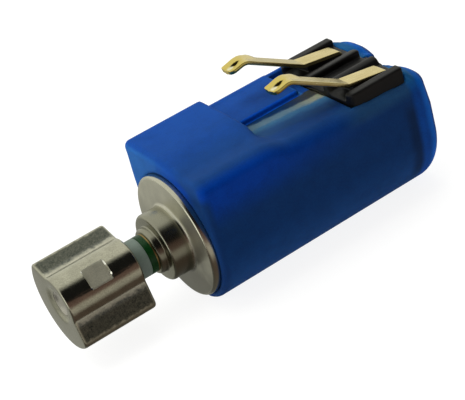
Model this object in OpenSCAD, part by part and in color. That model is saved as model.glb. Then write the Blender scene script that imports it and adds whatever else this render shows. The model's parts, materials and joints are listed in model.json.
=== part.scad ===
// Cylindrical vibration motor in a rubber boot, with an eccentric weight and two spring contacts.
// X runs along the motor axis, weight towards -X. The boot stands on z = 0, contacts on top.

/* [Motor case] */
// Outer diameter of the drawn steel case
can_d = 4; // [3.6:0.05:5]
// Length of the case behind its front face
can_l = 8; // [6.8:0.1:9.6]
// Sheet thickness of the case
can_wall = 0.2; // [0.15:0.01:0.25]
// How far the case stands out of the boot
can_proud = 0.22; // [0.1:0.01:0.5]
// Edge radius round the front face
rim_r = 0.15; // [0.05:0.01:0.2]
// Diameter of the bearing boss
boss_d = 2.16; // [1.9:0.02:2.6]
// Height of the bearing boss
boss_l = 0.71; // [0.5:0.01:1]
// Wall of the nose round the bearing
nose_wall = 0.115; // [0.09:0.005:0.2]
// Height of the nose above the boss
nose_l = 0.24; // [0.2:0.01:0.4]
// Edge radius of the boss and the nose, and fillet round the boss
boss_fillet = 0.1; // [0.04:0.01:0.11]
// Fillet radius round the nose
nose_fillet = 0.05; // [0.02:0.01:0.08]

/* [Shaft and bearings] */
// Diameter of the shaft
shaft_d = 0.8; // [0.6:0.01:1]
// Radial running clearance of the shaft
running_gap = 0.02; // [0.01:0.005:0.04]
// Wall of both bearing bushes
bush_wall = 0.2; // [0.1:0.01:0.25]
// How far the front bush stands out of the nose
bush_proud = 0.07; // [0.02:0.01:0.12]
// Length of the front bush inside the magnet
spigot_l = 1.2; // [0.6:0.1:2]
// Length of the rear bush
rear_bush_l = 1; // [0.6:0.1:2]
// Axial play of the rotor
end_play = 0.06; // [0.03:0.01:0.08]

/* [Magnet and winding] */
// Radial gap between the case and the winding
case_gap = 0.21; // [0.1:0.01:0.25]
// Thickness of the winding
coil_t = 0.24; // [0.1:0.01:0.28]
// Radial gap between the winding and the magnet
air_gap = 0.13; // [0.06:0.01:0.15]
// Clearance in front of the winding
coil_front_gap = 0.3; // [0.15:0.01:0.6]

/* [Commutator and brushes] */
// Thickness of the hub disc that carries the winding
disc_t = 0.5; // [0.3:0.02:0.55]
// Wall of the hub under the commutator segments
hub_wall = 0.12; // [0.08:0.01:0.2]
// Thickness of a commutator segment
segment_t = 0.08; // [0.05:0.01:0.1]
// Length of the commutator
commutator_l = 0.9; // [0.6:0.02:1]
// Width of the gap between two segments
segment_gap = 0.1; // [0.05:0.01:0.2]
// Thickness of a brush leaf
brush_t = 0.06; // [0.04:0.005:0.08]
// Width of a brush leaf
brush_w = 0.5; // [0.3:0.02:0.6]
// Clearance between a brush and the segments
brush_gap = 0.02; // [0.01:0.005:0.03]
// Distance of the brush ends from the hub disc
brush_setback = 0.22; // [0.1:0.02:0.4]

/* [End cap] */
// Depth of the end cap inside the case
cap_plug_l = 0.7; // [0.6:0.02:0.85]
// Thickness of the end cap's flange
cap_flange_t = 0.1; // [0.06:0.01:0.2]
// Distance of the end cap from the commutator
cap_gap = 0.4; // [0.2:0.02:0.6]
// Room round the brushes in the cap's pocket
pocket_gap = 0.22; // [0.1:0.01:0.3]
// Thickness of the web behind the pocket
cap_web_t = 0.2; // [0.12:0.01:0.22]
// Thickness of the thrust plate
thrust_t = 0.15; // [0.08:0.01:0.2]
// Diameter of the thrust plate
thrust_d = 1.2; // [0.9:0.02:1.3]

/* [Counterweight] */
// Outer diameter of the weight
weight_d = 2.94; // [2.5:0.02:3.6]
// Length of the weight
weight_l = 2.46; // [2:0.02:3.2]
// Diameter of the weight's hub
hub_d = 1.74; // [1.5:0.02:2]
// Half angle of the heavy sector at its rim
sector_angle = 89; // [75:1:95]
// Half angle at which the wings meet the hub
crease_angle = 116; // [108:1:125]
// Direction of the heavy side, from +Y towards +Z
heavy_angle = -47.5; // [-180:0.5:180]
// Edge radius of the weight
weight_edge_r = 0.08; // [0.03:0.01:0.12]
// Radius of the creases between the hub and the wings
crease_r = 0.18; // [0.04:0.01:0.2]
// Radius of the wings' outer corners
corner_r = 0.12; // [0.03:0.01:0.15]
// Length of the staking flat on the hub
stake_l = 0.68; // [0.4:0.02:1]
// Width of the staking flat on the hub
stake_w = 0.66; // [0.4:0.02:0.8]
// Depth of the shaft end below the weight's face
shaft_recess = 0.08; // [0.02:0.01:0.2]

/* [Washers] */
// Outer diameter of the two front washers
washer_d = 1.24; // [1.1:0.01:1.4]
// Thickness of the grey spacer washer
grey_t = 0.41; // [0.2:0.01:0.6]
// Thickness of the green slip washer
green_t = 0.11; // [0.06:0.01:0.2]
// Thickness of the washer behind the rear bush
rear_washer_t = 0.14; // [0.08:0.01:0.2]

/* [Rubber boot] */
// Rubber thickness at the sides and the bottom
rubber_t = 0.2; // [0.15:0.01:0.4]
// Rubber thickness behind the motor
rear_wall = 0.38; // [0.3:0.01:0.6]
// Width of the flat on which the boot rests
base_flat_w = 1.2; // [0.8:0.05:1.6]
// Height of the front pad above the case's crown
pad_rise = 0.5; // [0.4:0.01:1]
// Height of the pad's near edge above the case's crown
pad_near_rise = 0.24; // [0.2:0.01:0.4]
// Length of the front pad
pad_l = 2.84; // [2:0.02:3.2]
// Height of the shelf and the rear wall above the case's crown
shelf_rise = 0.17; // [0.1:0.01:0.35]
// Depth of the near top face below the case's crown
crown_cut = 0.01; // [0.005:0.005:0.1]
// Height of the near rim above the near top face, beside the pad
rim_rise = 0.16; // [0:0.01:0.17]
// Depth of the near rim below the near top face, at the rear of the block
rim_drop = 0.1; // [0:0.01:0.15]
// Distance of the shelf's inner wall from the motor axis
shelf_y = 0.27; // [0.15:0.01:0.4]
// Radius of the boot's upper far edge
far_edge_r = 0.22; // [0.1:0.01:0.3]
// Radius of the boot's upper near edge
near_edge_r = 0.55; // [0.3:0.01:0.6]
// Radius of the near edge beside the crown
crown_edge_r = 0.3; // [0.1:0.01:0.4]
// Radius round the front face
front_edge_r = 0.14; // [0.06:0.01:0.2]
// Radius round the rear face
rear_edge_r = 0.6; // [0.3:0.01:0.7]
// Width of the notch in the top of the rear wall
notch_w = 0.9; // [0.5:0.02:1]
// Distance of the notch from the motor axis, towards the near side
notch_offset = 0.1; // [0:0.02:0.2]
// Depth of the notch below the shelf
notch_depth = 0.7; // [0.4:0.02:0.9]
// Radius of the two lobes beside the notch
lobe_r = 0.68; // [0.2:0.01:0.7]

/* [Terminal block] */
// Length of the terminal block
block_l = 2.05; // [1.7:0.05:2.2]
// Rubber thickness beside the terminal block
block_wall = 0.3; // [0.24:0.01:0.35]
// Depth at which the block is seated below the case's crown
block_seat = 0.3; // [0.2:0.01:0.4]
// Distance of the block's rear face from the boot's rear face
block_setback = 0.82; // [0.7:0.02:1]
// Height of the ridges above the channel floors
ridge_h = 0.22; // [0.16:0.01:0.3]
// Width of the inner ridges at their tops
ridge_w = 0.23; // [0.2:0.01:0.3]
// Gap between the two inner ridges at their tops
ridge_gap = 0.62; // [0.3:0.01:0.7]
// Distance of that gap's middle from the motor axis, towards the near side
ridge_offset = 0.11; // [0:0.01:0.15]
// Draft of the ridges' steep sides
ridge_draft = 0.05; // [0:0.01:0.06]
// Radius at the upper front of the ridges
ridge_nose_r = 0.26; // [0.1:0.01:0.3]
// Edge radius along the tops of the ridges
ridge_edge_r = 0.08; // [0.03:0.01:0.1]
// Radius of the block's upright front corners
block_corner_r = 0.3; // [0.1:0.02:0.4]
// Clearance on each side of a strip in its channel
channel_gap = 0.04; // [0.03:0.01:0.06]
// Length of the recess in front of the block
recess_l = 0.35; // [0.2:0.01:0.7]

/* [Spring contacts] */
// Width of a contact strip
contact_w = 0.6; // [0.5:0.01:0.66]
// Thickness of a contact strip
contact_t = 0.13; // [0.08:0.01:0.16]
// Distance between the centres of the two contacts
contact_pitch = 2.32; // [2.2:0.01:2.8]
// Height of the channel floors above the case's crown
floor_rise = 0.17; // [0.15:0.01:0.3]
// Distance of the bend from the block's rear face
bend_setback = 1.64; // [1.3:0.02:1.7]
// Rise of the foot towards the bend
foot_pitch = 8.5; // [0:0.5:12]
// Rise of the arm at rest
arm_angle = 29.5; // [20:0.5:36]
// Length of the arm's straight part
arm_l = 2; // [1.6:0.02:2.4]
// Radius of the rounded contact tip
tip_r = 0.66; // [0.3:0.02:0.8]
// Angle by which the tip turns down past level
tip_angle = 35; // [10:1:50]
// Radius of the groove that is pressed into the tip
groove_r = 0.22; // [0.15:0.01:0.25]
// Depth of that groove at the end of the tip
groove_depth = 0.07; // [0.03:0.01:0.1]
// Bend radius of the strips, at the middle of their thickness
strip_bend_r = 0.13; // [0.1:0.01:0.14]
// Clearance between an arm and its foot
bend_gap = 0.03; // [0.02:0.005:0.05]
// Distance of the foot's rear bend from the block's rear face
dive_setback = 0.28; // [0.25:0.01:0.5]
// Depth of the contact tails below the case's crown
tail_drop = 0.05; // [0.02:0.01:0.08]
// Distance of the solder tabs' upper corners from the case's edge
tab_margin = 0.06; // [0.03:0.01:0.3]

/* [Hidden] */
$fn = 96;

// Cuts run past the faces that they open by this much
past = 1;
// Least corner radius of a boot section that is drawn in
least_r = 0.05;
// Number of commutator segments
segments = 3;

can_r = can_d / 2;
can_in_r = can_r - can_wall;
boss_r = boss_d / 2;
boss_in_r = boss_r - can_wall;
shaft_r = shaft_d / 2;
bush_bore_r = shaft_r + running_gap;
bush_r = bush_bore_r + bush_wall;
nose_r = bush_r + nose_wall;
coil_r = can_in_r - case_gap;
coil_in_r = coil_r - coil_t;
magnet_r = coil_in_r - air_gap;
sleeve_r = shaft_r + hub_wall;
commutator_r = sleeve_r + segment_t;
brush_in_r = commutator_r + brush_gap;
pocket_r = brush_in_r + brush_t + pocket_gap;
thrust_r = thrust_d / 2;
washer_r = washer_d / 2;
hub_r = hub_d / 2;
weight_r = weight_d / 2;

// Stations along the motor axis, measured from the case's front face
nose_x = -boss_l - nose_l;
bush_front_x = nose_x - bush_proud;
green_x = bush_front_x - end_play - green_t;
grey_x = green_x - grey_t;
weight_x = grey_x - weight_l;
cap_front_x = can_l - cap_plug_l;
commutator_rear_x = cap_front_x - cap_gap;
disc_rear_x = commutator_rear_x - commutator_l;
hub_x = disc_rear_x - disc_t;
magnet_rear_x = hub_x - rear_washer_t - end_play;
brush_front_x = disc_rear_x + brush_setback;
cap_rear_x = can_l + cap_flange_t;
thrust_x = can_l - cap_web_t - thrust_t;
shaft_rear_x = thrust_x - end_play;

// Counterweight: a crease, the direction of a wing's face and its outward side, the staking flat
crease = hub_r * [cos(crease_angle), sin(crease_angle)];
wing = heading(crease, weight_r * [cos(sector_angle), sin(sector_angle)]);
wing_side = [-wing.y, wing.x];
stake_h = sqrt(hub_r * hub_r - stake_w * stake_w / 4);

// Boot: half width, height of the axis, and its ends along the axis
boot_r = can_r + rubber_t;
axis_h = sqrt(boot_r * boot_r - base_flat_w * base_flat_w / 4);
boot_front_x = can_proud;
tail_x = cap_rear_x + brush_t + contact_t / 2;
cavity_rear_x = tail_x + contact_t / 2;
boot_rear_x = cavity_rear_x + rear_wall;
pad_rear_x = boot_front_x + pad_l;
pad_h = can_r + pad_rise;
pad_near_h = can_r + pad_near_rise;
shelf_h = can_r + shelf_rise;
near_top = can_r - crown_cut;
rim_low = shelf_h - 2 * near_edge_r;

// Terminal block and contacts
block_rear_x = boot_rear_x - block_setback;
block_front_x = block_rear_x - block_l;
block_half = boot_r - block_wall;
block_bottom = can_r - block_seat;
floor_h = can_r + floor_rise;
ridge_top = floor_h + ridge_h;
bend_x = block_rear_x - bend_setback;
dive_x = block_rear_x - dive_setback;
dive_h = floor_h + contact_t / 2;
bend_h = dive_h + (dive_x - bend_x) * tan(foot_pitch);
foot_run = [cos(foot_pitch), -sin(foot_pitch)];
tail_h = can_r - tail_drop;
tab_y = (contact_pitch + contact_w) / 2;
tab_top = sqrt(can_r * can_r - tab_y * tab_y) - tab_margin;
tail_end_h = tab_top - brush_w;
tip_start = [bend_x - arm_l * cos(arm_angle), bend_h + arm_l * sin(arm_angle)];
tip_centre = tip_start - tip_r * [sin(arm_angle), cos(arm_angle)];

// Points of an arc about c from angle a0 to a1
function arc(c, r, a0, a1, n = 6) =
    [for (i = [0 : n]) let (a = a0 + (a1 - a0) * i / n) c + r * [cos(a), sin(a)]];

// Unit direction from one point to the next
function heading(a, b) = (b - a) / norm(b - a);

// Corner p between a and b, rounded to radius r
function eased(a, p, b, r, n = 4) =
    let (before = heading(a, p),
         after = heading(p, b),
         turn = atan2(cross(before, after), before * after),
         side = sign(turn),
         centre = p - r * tan(abs(turn) / 2) * before + side * r * [-before.y, before.x],
         start = atan2(-side * before.x, side * before.y))
    r > 0 ? arc(centre, r, start, start + turn, n) : [p];

// A closed outline from points that each hold a place and a corner radius
function rounded(points) =
    let (n = len(points), at = [for (p = points) [p.x, p.y]])
    [for (i = [0 : n - 1]) each eased(at[(i + n - 1) % n], at[i], at[(i + 1) % n], points[i].z)];

// An open path with its turns bent to radius r
function bent(path, r) =
    let (last = len(path) - 1)
    concat([path[0]],
           [for (i = [1 : last - 1]) each eased(path[i - 1], path[i], path[i + 1], r)],
           [path[last]]);

// Sideways offset of a path's point i, mitred where the path turns
function mitre(path, i, d) =
    let (last = len(path) - 1,
         before = heading(path[max(i - 1, 0)], path[max(i, 1)]),
         after = heading(path[min(i, last - 1)], path[min(i + 1, last)]),
         side = [-before.y - after.y, before.x + after.x])
    path[i] + d * 2 / (side * side) * side;

// Outline of a strip of thickness t along a path
function strip(path, t) =
    concat([for (i = [0 : len(path) - 1]) mitre(path, i, t / 2)],
           [for (i = [len(path) - 1 : -1 : 0]) mitre(path, i, -t / 2)]);

// Outline of the boot's section, drawn in by d
function boot_outline(d, far_h, near_h) =
    let (rf = max(far_edge_r, d + least_r),
         rn = max(near_edge_r, d + least_r),
         lean = atan2(far_h - near_h, boot_r),
         flat = acos((axis_h - d) / (boot_r - d)))
    concat(arc([boot_r - rf, far_h - rf], rf - d, 0, 90),
           far_h > near_h ? [[0, far_h - d]] : [],
           arc([rn - boot_r, near_h - rn], rn - d, 90 + lean, 180),
           arc([0, 0], boot_r - d, 180, 270 - flat, 12),
           arc([0, 0], boot_r - d, 270 + flat, 360, 12));

// The motor axis as the local X axis, with the case's front face at x = 0
module on_axis() translate([-(boot_front_x + boot_rear_x) / 2, 0, axis_h]) children();

// A turned piece from points of radius and place along the axis
module turned(points) on_axis() rotate([0, 90, 0]) rotate_extrude() polygon(points);

// A plain tube on the axis
module tube(outer_r, inner_r, x0, x1)
    turned([[inner_r, x0], [outer_r, x0], [outer_r, x1], [inner_r, x1]]);

// A section in Y and Z, carried from x0 to x1
module along_x(x0, x1) translate([x0, 0, 0]) rotate([90, 0, 90]) linear_extrude(x1 - x0) children();

// A side profile in X and Z, carried along Y
module along_y(w, y = 0) translate([0, y, 0]) rotate([90, 0, 0]) linear_extrude(w, center = true) children();

// A box from one corner to the opposite one
module box(low, high) translate(low) cube(high - low);

// A section's points placed at x
function ring(x, outline) = [for (p = outline) [x, p.x, p.y]];

// Rings of a bar of the boot's section, its ends rounded where they have a radius
function boot_rings(x0, x1, r0, r1, far_h, near_h) = concat(
    [for (a = r0 > 0 ? [90 : -30 : 0] : [0])
        ring(x0 + r0 * (1 - sin(a)), boot_outline(r0 * (1 - cos(a)), far_h, near_h))],
    [for (a = r1 > 0 ? [0 : 18 : 90] : [0])
        ring(x1 - r1 * (1 - sin(a)), boot_outline(r1 * (1 - cos(a)), far_h, near_h))]);

// A closed skin over rings that have equal numbers of points
module loft(rings) {
    n = len(rings[0]);
    last = len(rings) - 1;
    sides = [for (j = [0 : last - 1], i = [0 : n - 1])
        let (a = j * n + i, b = j * n + (i + 1) % n)
        each [[a, b + n, b], [a, a + n, b + n]]];
    front = [for (i = [0 : n - 1]) i];
    rear = [for (i = [n - 1 : -1 : 0]) last * n + i];
    polyhedron([for (r = rings) each r], concat(sides, [front, rear]));
}

// Path of the arm: straight from the bend, then round over the tip
arm_path = concat([[bend_x, bend_h]],
                  arc(tip_centre, tip_r, 90 - arm_angle, 90 + tip_angle, 10));

// Path of the foot: down its ramp, into the block, back over the case and down behind it
foot_start = [bend_x, bend_h] + (contact_t / 2 + bend_gap) * foot_run;
foot_path = bent([foot_start, [dive_x, dive_h], [dive_x, tail_h], [tail_x, tail_h],
                  [tail_x, tail_end_h]], strip_bend_r);

// A contact's foot, which also cuts its slots in the block and the boot
module foot_strip(side)
    along_y(contact_w, side * contact_pitch / 2) polygon(strip(foot_path, contact_t));

module rubber_boot() color("royalblue") on_axis() difference() {
    union() {
        loft(boot_rings(boot_front_x, pad_rear_x, front_edge_r, 0, pad_h, pad_near_h));
        difference() {
            loft(boot_rings(pad_rear_x, boot_rear_x, 0, rear_edge_r, shelf_h, shelf_h));
            along_x(pad_rear_x, block_rear_x) crown_cut_section();
        }
        loft([ring(pad_rear_x, rim_outline(rim_rise)), ring(block_rear_x, rim_outline(-rim_drop))]);
    }
    rotate([0, 90, 0]) translate([0, 0, boot_front_x - past])
        cylinder(r = can_r, h = cavity_rear_x - boot_front_x + past);
    along_x(block_rear_x - past, boot_rear_x + past) notch_section();
    // Recess for the roots of the arms, and the seat of the terminal block
    box([block_front_x - recess_l, -block_half, near_top], [block_rear_x, block_half, shelf_h + past]);
    box([block_front_x, -block_half, block_bottom], [block_rear_x, block_half, shelf_h + past]);
    for (side = [-1, 1]) foot_strip(side);
}

// What is cut from the near half of the top, level with the crown of the case as far as the near rim
module crown_cut_section()
    polygon([[shelf_y, shelf_h + past], [shelf_y, near_top], [-shelf_y, near_top], [-shelf_y, rim_low],
             [-boot_r - past, rim_low], [-boot_r - past, shelf_h + past]]);

// Section of the near rim, its outer edge raised by rise
function rim_outline(rise) =
    concat([[-shelf_y, rim_low], [-shelf_y, near_top]],
           arc([crown_edge_r - boot_r, near_top + rise - crown_edge_r], crown_edge_r, 90, 180),
           [[-boot_r, rim_low]]);

// Notch between the two round lobes of the rear wall
module notch_section() {
    near = -notch_offset - notch_w / 2;
    far = near + notch_w;
    low = shelf_h - notch_depth;
    lobe_z = shelf_h - lobe_r;
    polygon(concat([[near - lobe_r, shelf_h + past]], arc([near - lobe_r, lobe_z], lobe_r, 90, 0),
                   [[near, low], [far, low]], arc([far + lobe_r, lobe_z], lobe_r, 180, 90),
                   [[far + lobe_r, shelf_h + past]]));
}

module motor_can() color("silver") turned(concat(
    [[can_in_r, can_l], [can_r, can_l]],
    arc([can_r - rim_r, rim_r], rim_r, 0, -90),
    arc([boss_r + boss_fillet, -boss_fillet], boss_fillet, 90, 180),
    arc([boss_r - boss_fillet, boss_fillet - boss_l], boss_fillet, 0, -90),
    arc([nose_r + nose_fillet, -boss_l - nose_fillet], nose_fillet, 90, 180),
    arc([nose_r - boss_fillet, nose_x + boss_fillet], boss_fillet, 0, -90),
    [[bush_r, nose_x], [bush_r, can_wall - boss_l], [boss_in_r, can_wall - boss_l],
     [boss_in_r, can_wall], [can_in_r, can_wall]]));

module front_bearing() color("peru") turned([
    [bush_bore_r, bush_front_x], [bush_r, bush_front_x], [bush_r, can_wall - boss_l],
    [boss_in_r, can_wall - boss_l], [boss_in_r, can_wall], [bush_r, can_wall],
    [bush_r, can_wall + spigot_l], [bush_bore_r, can_wall + spigot_l]]);

module rear_bearing() color("peru")
    tube(bush_r, bush_bore_r, magnet_rear_x - rear_bush_l, magnet_rear_x);

module magnet() color("dimgray") tube(magnet_r, bush_r, can_wall, magnet_rear_x);

module end_cap() color("#1c1c1e") difference() {
    turned([[0, can_l - cap_web_t], [pocket_r, can_l - cap_web_t], [pocket_r, cap_front_x],
            [can_in_r, cap_front_x], [can_in_r, can_l], [can_r, can_l], [can_r, cap_rear_x],
            [0, cap_rear_x]]);
    for (side = [-1, 1]) brush_leaf(side);
}

module thrust_plate() color("gainsboro")
    turned([[0, thrust_x], [thrust_r, thrust_x], [thrust_r, thrust_x + thrust_t],
            [0, thrust_x + thrust_t]]);

// One brush leaf along the commutator, through the cap's web
module brush_leaf(side)
    on_axis() along_y(brush_t, side * (brush_in_r + brush_t / 2))
        translate([brush_front_x, -brush_w / 2]) square([cap_rear_x - brush_front_x, brush_w]);

// A brush leaf and its solder tab behind the end cap
module brush(side) color("goldenrod") union() {
    tab = [[brush_in_r, -brush_w / 2], [contact_pitch / 2, -brush_w / 2], [tab_y, tail_end_h],
           [tab_y, tab_top], [tab_y - contact_w, tab_top], [brush_in_r, brush_w / 2]];
    brush_leaf(side);
    on_axis() along_x(cap_rear_x, cap_rear_x + brush_t) polygon([for (p = tab) [side * p.x, p.y]]);
}

module near_brush() brush(-1);

module far_brush() brush(1);

// One half of the block's section, from its inner ridge at a distance from the axis outwards
function block_side(inner) =
    let (channel = contact_w / 2 + channel_gap,
         outer = contact_pitch / 2 + channel + ridge_draft,
         edge_r = min(ridge_edge_r, (block_half - outer) / 3))
    [[inner - ridge_draft, floor_h, 0], [inner, ridge_top, edge_r], [inner + ridge_w, ridge_top, edge_r],
     [contact_pitch / 2 - channel, floor_h, 0], [contact_pitch / 2 + channel, floor_h, 0],
     [outer, ridge_top, edge_r], [block_half, ridge_top, edge_r], [block_half, block_bottom, 0]];

// Section of the terminal block with its four ridges
module block_section() {
    far = block_side(ridge_gap / 2 - ridge_offset);
    near = block_side(ridge_gap / 2 + ridge_offset);
    mirrored = [for (i = [len(near) - 1 : -1 : 0]) [-near[i].x, near[i].y, near[i].z]];
    polygon(rounded(concat(mirrored, far)));
}

// Ramp under a foot, drawn up to the middle of the strip
module foot_ramp(side)
    along_y(contact_w, side * contact_pitch / 2)
        polygon([foot_start, [dive_x, dive_h] - 2 * strip_bend_r * foot_run, [dive_x, block_bottom],
                 [foot_start.x, block_bottom]]);

module terminal_block() color("#1c1c1e") on_axis() difference() {
    union() {
        intersection() {
            along_x(block_front_x, block_rear_x) block_section();
            along_y(2 * block_half + past)
                polygon(rounded([[block_rear_x, block_bottom, 0],
                                 [block_rear_x, ridge_top, ridge_edge_r],
                                 [block_front_x, ridge_top, ridge_nose_r],
                                 [block_front_x, block_bottom, 0]]));
            linear_extrude(ridge_top + past)
                polygon(rounded([[block_rear_x, -block_half, 0], [block_rear_x, block_half, 0],
                                 [block_front_x, block_half, block_corner_r],
                                 [block_front_x, -block_half, block_corner_r]]));
        }
        for (side = [-1, 1]) foot_ramp(side);
    }
    rotate([0, 90, 0]) cylinder(r = can_r, h = boot_rear_x);
    for (side = [-1, 1]) foot_strip(side);
}

module contact_foot(side) color("gold") on_axis() foot_strip(side);

module near_contact_foot() contact_foot(-1);

module far_contact_foot() contact_foot(1);

module contact_arm(side) color("gold") on_axis() translate([0, side * contact_pitch / 2, 0]) difference() {
    union() {
        along_y(contact_w) polygon(strip(arm_path, contact_t));
        translate([bend_x, 0, bend_h]) rotate([90, 0, 0])
            cylinder(d = contact_t, h = contact_w, center = true);
    }
    // Pressed groove, deepest at the end of the tip
    translate([tip_centre.x, 0, tip_centre.y]) rotate([0, -tip_angle, 0])
        translate([-past, 0, tip_r + contact_t / 2 + groove_r - groove_depth]) rotate([0, 90, 0])
            cylinder(r = groove_r, h = 2 * past);
}

module near_contact_arm() contact_arm(-1);

module far_contact_arm() contact_arm(1);

module shaft() color("gainsboro")
    turned([[0, weight_x + shaft_recess], [shaft_r, weight_x + shaft_recess], [shaft_r, shaft_rear_x],
            [0, shaft_rear_x]]);

// A solid round bar on the axis with rounded end edges
module round_bar(r, x0, x1, edge)
    turned(concat([[0, x0]], arc([r - edge, x0 + edge], edge, -90, 0),
                  arc([r - edge, x1 - edge], edge, 0, 90), [[0, x1]]));

module counterweight() color("#8d8f8c") difference() {
    union() {
        round_bar(hub_r, weight_x, grey_x, weight_edge_r);
        intersection() {
            round_bar(weight_r, weight_x, grey_x, weight_edge_r);
            on_axis() rotate([heavy_angle, 0, 0]) along_x(weight_x - past, grey_x + past) heavy_section();
        }
    }
    on_axis() rotate([0, 90, 0]) translate([0, 0, weight_x - past])
        cylinder(r = shaft_r, h = weight_l + 2 * past);
    // Staking flat on the hub, opposite the heavy side
    on_axis() rotate([heavy_angle, 0, 0]) translate([weight_x + (weight_l - stake_l) / 2, 0, 0])
        box([0, -hub_r - past, -stake_w / 2], [stake_l, -stake_h, stake_w / 2]);
}

// Centre of a circle of radius r beside a wing's face, at a distance from the motor axis
function wing_circle(r, distance) =
    let (base = crease + r * wing_side, along = base * wing)
    base + (sqrt(along * along - base * base + distance * distance) - along) * wing;

// Region of the heavy sector, with its heavy side along +X of the sketch
module heavy_section() {
    fillet = wing_circle(crease_r, hub_r + crease_r);
    corner = wing_circle(-corner_r, weight_r - corner_r);
    face = atan2(-wing_side.y, -wing_side.x);
    half = concat(arc(fillet, crease_r, atan2(-fillet.y, -fillet.x), face),
                  arc(corner, corner_r, face + 180, atan2(corner.y, corner.x)),
                  [weight_d * heading([0, 0], corner), [weight_d, weight_d]]);
    mirrored = [for (i = [len(half) - 1 : -1 : 0]) [half[i].x, -half[i].y]];
    polygon(concat([[crease.x, 0]], half, mirrored));
}

module grey_washer() color("#8a9a98") tube(washer_r, shaft_r, grey_x, green_x);

module green_washer() color("seagreen") tube(washer_r, shaft_r, green_x, green_x + green_t);

module rear_washer() color("#8a9a98") tube(bush_r, shaft_r, hub_x - rear_washer_t, hub_x);

module winding() color("chocolate")
    tube(coil_r, coil_in_r, can_wall + coil_front_gap, disc_rear_x);

module winding_hub() color("darkolivegreen")
    turned([[shaft_r, hub_x], [coil_in_r, hub_x], [coil_in_r, disc_rear_x], [sleeve_r, disc_rear_x],
            [sleeve_r, commutator_rear_x], [shaft_r, commutator_rear_x]]);

module commutator_segments() color("gold") difference() {
    tube(commutator_r, sleeve_r, disc_rear_x, commutator_rear_x);
    for (i = [1 : segments])
        on_axis() rotate([i * 360 / segments, 0, 0])
            box([disc_rear_x - past, 0, -segment_gap / 2],
                [commutator_rear_x + past, commutator_r + past, segment_gap / 2]);
}

rubber_boot();
motor_can();
front_bearing();
rear_bearing();
magnet();
end_cap();
thrust_plate();
near_brush();
far_brush();
terminal_block();
near_contact_foot();
far_contact_foot();
shaft();
counterweight();
grey_washer();
green_washer();
rear_washer();
winding();
winding_hub();
commutator_segments();
near_contact_arm();
far_contact_arm();
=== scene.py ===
import json
import math

import bpy
import numpy as np
from mathutils import Matrix, Vector


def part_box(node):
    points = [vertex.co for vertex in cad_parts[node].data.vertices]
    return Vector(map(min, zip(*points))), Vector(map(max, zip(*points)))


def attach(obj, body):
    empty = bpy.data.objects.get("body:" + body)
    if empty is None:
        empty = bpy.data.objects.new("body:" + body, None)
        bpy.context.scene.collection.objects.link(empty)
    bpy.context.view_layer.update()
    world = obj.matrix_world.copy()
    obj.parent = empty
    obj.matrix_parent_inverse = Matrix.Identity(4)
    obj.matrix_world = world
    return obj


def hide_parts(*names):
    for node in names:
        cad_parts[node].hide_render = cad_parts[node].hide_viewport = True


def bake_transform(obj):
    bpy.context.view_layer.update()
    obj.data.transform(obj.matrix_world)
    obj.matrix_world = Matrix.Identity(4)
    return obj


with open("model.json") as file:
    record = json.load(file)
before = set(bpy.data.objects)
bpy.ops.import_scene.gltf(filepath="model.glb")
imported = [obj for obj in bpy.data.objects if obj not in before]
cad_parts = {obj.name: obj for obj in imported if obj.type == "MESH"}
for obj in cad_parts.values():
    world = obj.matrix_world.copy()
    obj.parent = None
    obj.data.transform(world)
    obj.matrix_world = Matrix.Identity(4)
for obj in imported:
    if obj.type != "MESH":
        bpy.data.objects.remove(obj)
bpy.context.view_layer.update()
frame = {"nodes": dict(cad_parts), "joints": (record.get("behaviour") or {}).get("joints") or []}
scene = bpy.context.scene
mm = 0.001
joints = {joint["name"]: joint for joint in frame["joints"]}
axisPoint = np.array(joints["rotor_spin"]["pos_m"])  # the motor axis, level with the case's front face
print("frame loaded,", len(frame["nodes"]), "nodes")


def span(node):  # a node's corners in millimetres from the axis point
    return [(np.array(corner) - axisPoint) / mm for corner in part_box(node)]


bootLow, bootHigh = span("rubber_boot")
caseLow, caseHigh = span("motor_can")
blockLow, blockHigh = span("terminal_block")
weightLow, weightHigh = span("counterweight")
shaftLow, shaftHigh = span("shaft")
caseR, bootHalf, shaftR = caseHigh[1], bootHigh[1], shaftHigh[1]
bendX = (joints["near_contact_press"]["pos_m"][0] - axisPoint[0]) / mm
contactY = joints["far_contact_press"]["pos_m"][1] / mm  # from the axis to each spring contact


# camera

photoView = dict(
    azimuth=25.244, elevation=30.531, roll=16.784,  # degrees
    place=(-18.683, -34.778, 24.896),  # millimetres in the part's frame
    focal=1487.06, width=465,  # pixels of the photograph
    sensor=36, clip=(0.002, 2),
)


def addCamera():
    turn, lift, roll = (math.radians(photoView[k]) for k in ("azimuth", "elevation", "roll"))
    ahead = Vector((math.sin(turn) * math.cos(lift), math.cos(turn) * math.cos(lift), -math.sin(lift)))
    level = Vector((math.cos(turn), -math.sin(turn), 0))
    rise = level.cross(ahead)
    right = math.cos(roll) * level - math.sin(roll) * rise
    up = math.sin(roll) * level + math.cos(roll) * rise
    data = bpy.data.cameras.new("photoCamera")
    data.sensor_width = photoView["sensor"]
    data.lens = data.sensor_width * photoView["focal"] / photoView["width"]
    data.clip_start, data.clip_end = photoView["clip"]
    camera = bpy.data.objects.new("photoCamera", data)
    scene.collection.objects.link(camera)
    turned = Matrix((right, up, -ahead)).transposed().to_4x4()
    camera.matrix_world = Matrix.Translation(Vector(photoView["place"]) * mm) @ turned
    scene.camera = camera


addCamera()


# shader maths

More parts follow.
